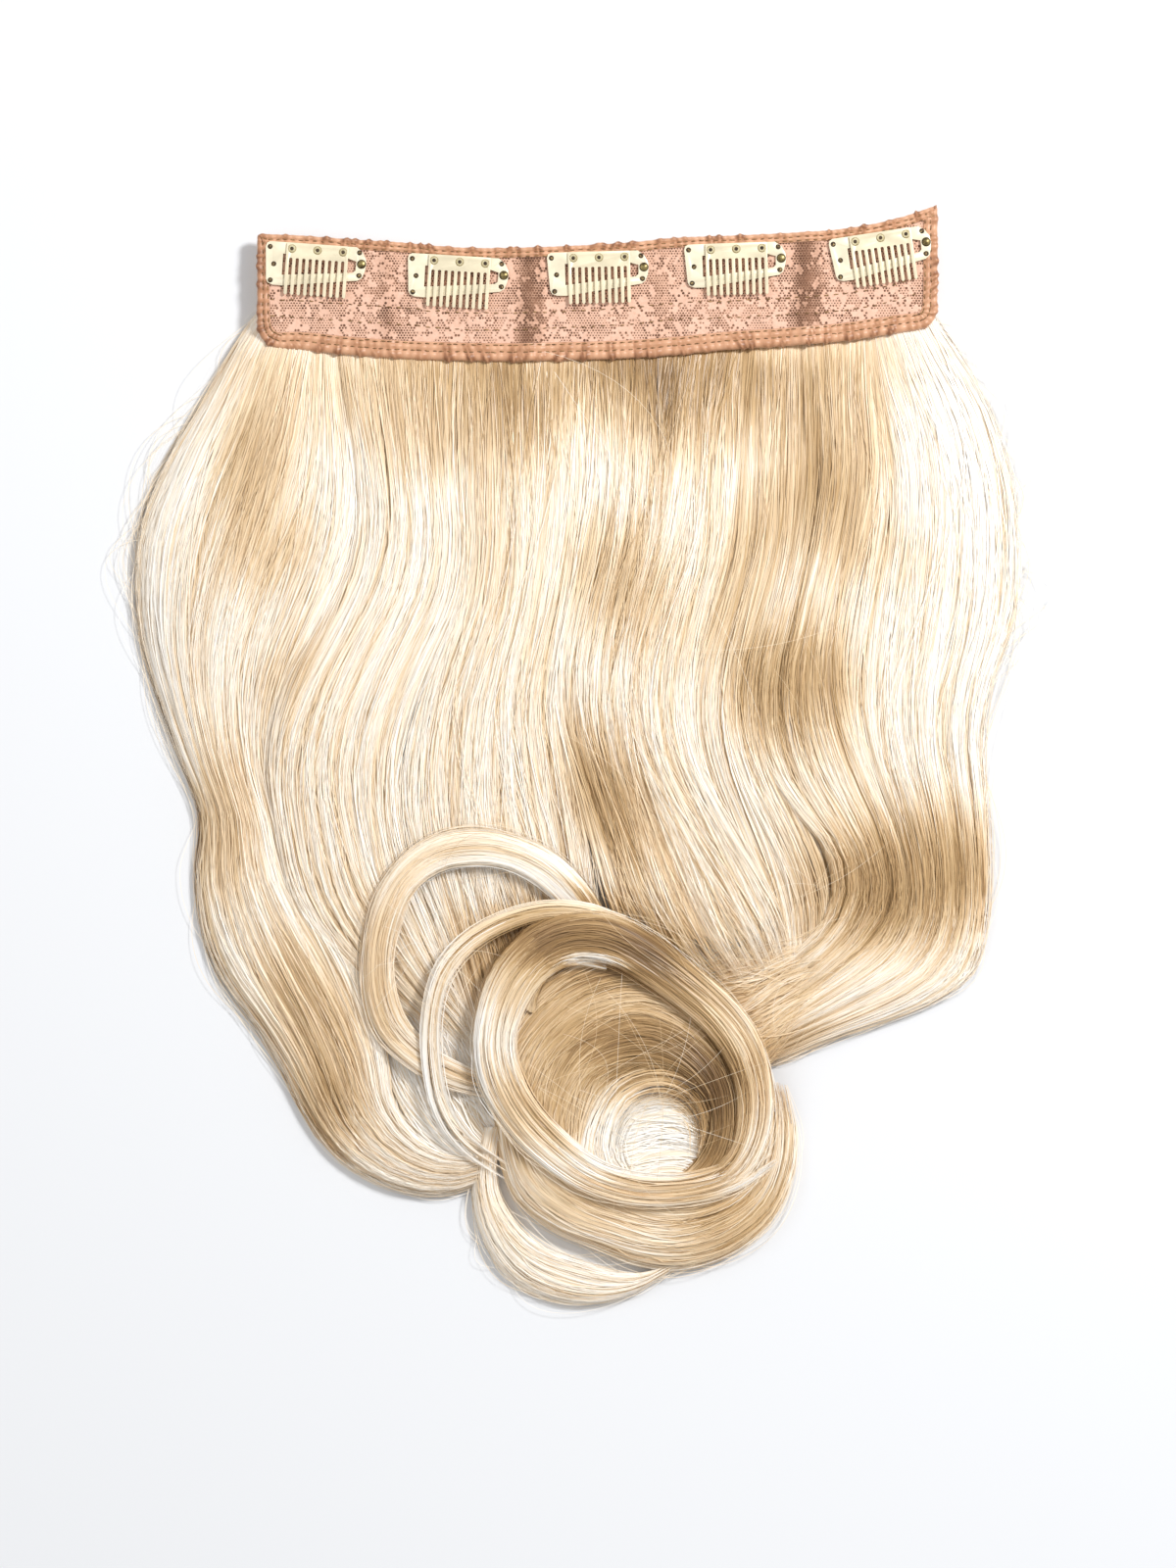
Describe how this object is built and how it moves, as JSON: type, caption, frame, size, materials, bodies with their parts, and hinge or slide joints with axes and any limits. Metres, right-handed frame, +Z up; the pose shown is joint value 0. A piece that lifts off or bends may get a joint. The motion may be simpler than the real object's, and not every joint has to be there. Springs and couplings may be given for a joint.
{
  "type": "clip-in hair extension",
  "caption": "Fall of wavy hair with curled ends on a lace band bound in satin tape, with snap comb clips that open along the band.",
  "frame": {"origin": "bottom centre of the bounding box, on the surface that the hair lies on", "axes": "+X along the band, +Y from the hair's ends to the band, +Z up, the way the clips face"},
  "size_m": [0.3274, 0.4076, 0.0226],
  "materials": {
    "hair": "glossy synthetic hair fibre, pale blonde",
    "lace": "matte lace over tan cloth",
    "satin_tape": "soft satin, gathered",
    "clip_enamel": "glossy cream enamel on spring steel",
    "clip_brass": "dull, darkened brass"
  },
  "bodies": {
    "root": {"hair": "hair", "lace_panel": "lace", "binding": "satin_tape", "clip_1_frame": "clip_enamel", "clip_1_rivet": "clip_brass", "clip_2_frame": "clip_enamel", "clip_2_rivet": "clip_brass", "clip_3_frame": "clip_enamel", "clip_3_rivet": "clip_brass", "clip_4_frame": "clip_enamel", "clip_4_rivet": "clip_brass", "clip_5_frame": "clip_enamel", "clip_5_rivet": "clip_brass"},
    "comb_1": {"clip_1_rail": "clip_enamel", "clip_1_comb": "clip_enamel", "clip_1_eyelet_1": "clip_brass", "clip_1_eyelet_2": "clip_brass", "clip_1_eyelet_3": "clip_brass"},
    "comb_2": {"clip_2_rail": "clip_enamel", "clip_2_comb": "clip_enamel", "clip_2_eyelet_1": "clip_brass", "clip_2_eyelet_2": "clip_brass", "clip_2_eyelet_3": "clip_brass"},
    "comb_3": {"clip_3_rail": "clip_enamel", "clip_3_comb": "clip_enamel", "clip_3_eyelet_1": "clip_brass", "clip_3_eyelet_2": "clip_brass", "clip_3_eyelet_3": "clip_brass"},
    "comb_4": {"clip_4_rail": "clip_enamel", "clip_4_comb": "clip_enamel", "clip_4_eyelet_1": "clip_brass", "clip_4_eyelet_2": "clip_brass", "clip_4_eyelet_3": "clip_brass"},
    "comb_5": {"clip_5_rail": "clip_enamel", "clip_5_comb": "clip_enamel", "clip_5_eyelet_1": "clip_brass", "clip_5_eyelet_2": "clip_brass", "clip_5_eyelet_3": "clip_brass"}
  },
  "joints": [
    {"name": "clip_1_snap", "type": "hinge", "parent": "root", "child": "comb_1", "pos_m": [-0.11544, 0.19016, 0.0109], "axis": [-0.9974, 0.0715, 0], "range_deg": [0, 35]},
    {"name": "clip_2_snap", "type": "hinge", "parent": "root", "child": "comb_2", "pos_m": [-0.06287, 0.1857, 0.0109], "axis": [-0.9981, 0.061, 0], "range_deg": [0, 35]},
    {"name": "clip_3_snap", "type": "hinge", "parent": "root", "child": "comb_3", "pos_m": [-0.01156, 0.1857, 0.0109], "axis": [-0.9997, -0.0262, 0], "range_deg": [0, 35]},
    {"name": "clip_4_snap", "type": "hinge", "parent": "root", "child": "comb_4", "pos_m": [0.03924, 0.18867, 0.0109], "axis": [-0.9994, -0.0349, 0], "range_deg": [0, 35]},
    {"name": "clip_5_snap", "type": "hinge", "parent": "root", "child": "comb_5", "pos_m": [0.09258, 0.19059, 0.0109], "axis": [-0.989, -0.1478, 0], "range_deg": [0, 35]}
  ]
}
